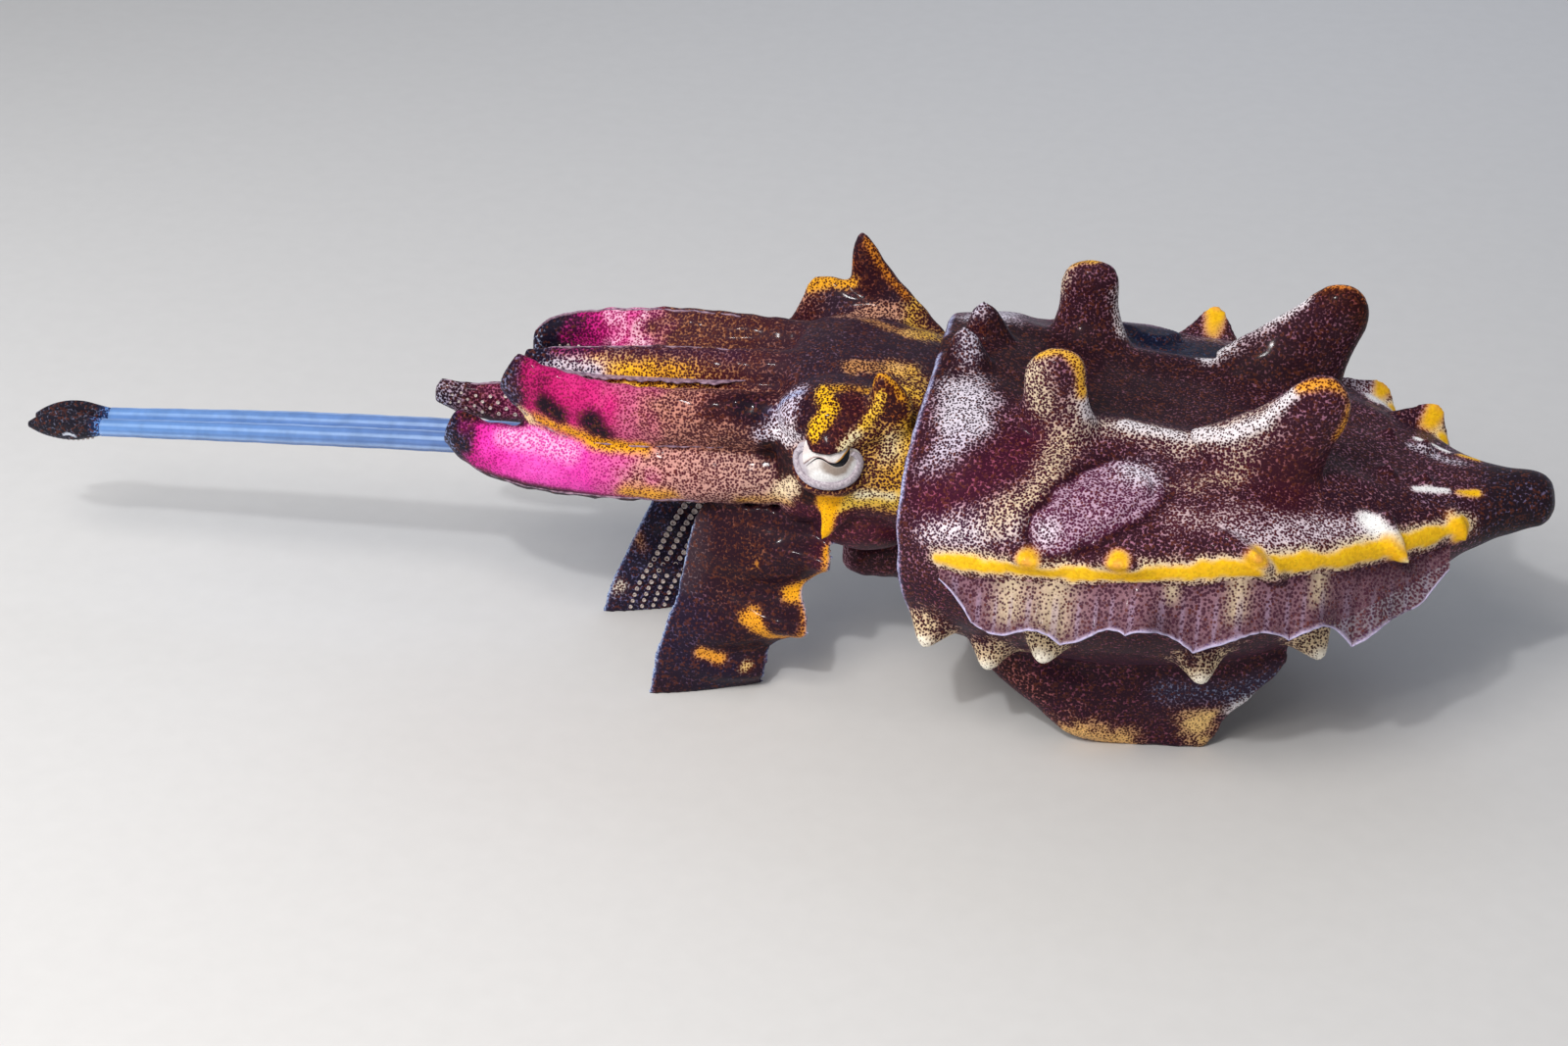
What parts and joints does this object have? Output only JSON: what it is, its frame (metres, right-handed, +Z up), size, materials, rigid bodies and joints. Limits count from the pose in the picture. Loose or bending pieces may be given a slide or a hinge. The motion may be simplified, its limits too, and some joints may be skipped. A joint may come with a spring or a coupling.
{
  "type": "flamboyant cuttlefish, still life-size model",
  "caption": "Life-size still model of a flamboyant cuttlefish walking on its lower arms and belly flaps, feeding tentacles shot out ahead.",
  "frame": {"origin": "on the floor, under the middle of the whole animal's box", "axes": "+Z up, +X from the head towards the tail, +Y towards the animal's right side"},
  "size_m": [0.1566, 0.0532, 0.0419],
  "materials": {
    "mantle_skin": "soft, moist, stippled skin, satin",
    "head_skin": "soft, moist, stippled skin, satin",
    "arm_skin": "soft, moist, stippled skin, satin",
    "leg_skin": "soft, moist, stippled skin, satin",
    "fin_membrane": "thin, see-through membrane",
    "funnel_skin": "soft, moist skin",
    "eyeball": "wet gloss",
    "tentacle_stalk": "clear, bluish, wet muscle",
    "tentacle_club": "wet, dark, with blue sheen"
  },
  "bodies": {
    "root": {"arm_1_left": "arm_skin", "arm_1_right": "arm_skin", "arm_2_left": "arm_skin", "arm_2_right": "arm_skin", "arm_3_left": "arm_skin", "arm_3_right": "arm_skin", "arm_4_left": "leg_skin", "arm_4_right": "leg_skin", "club_left": "tentacle_club", "club_right": "tentacle_club", "eye_left": "eyeball", "eye_right": "eyeball", "fin_left": "fin_membrane", "fin_right": "fin_membrane", "flap_left": "mantle_skin", "flap_right": "mantle_skin", "funnel": "funnel_skin", "head": "head_skin", "mantle": "mantle_skin", "tail_tip": "mantle_skin", "tentacle_left_a": "tentacle_stalk", "tentacle_left_b": "tentacle_stalk", "tentacle_right_a": "tentacle_stalk", "tentacle_right_b": "tentacle_stalk"}
  },
  "joints": []
}
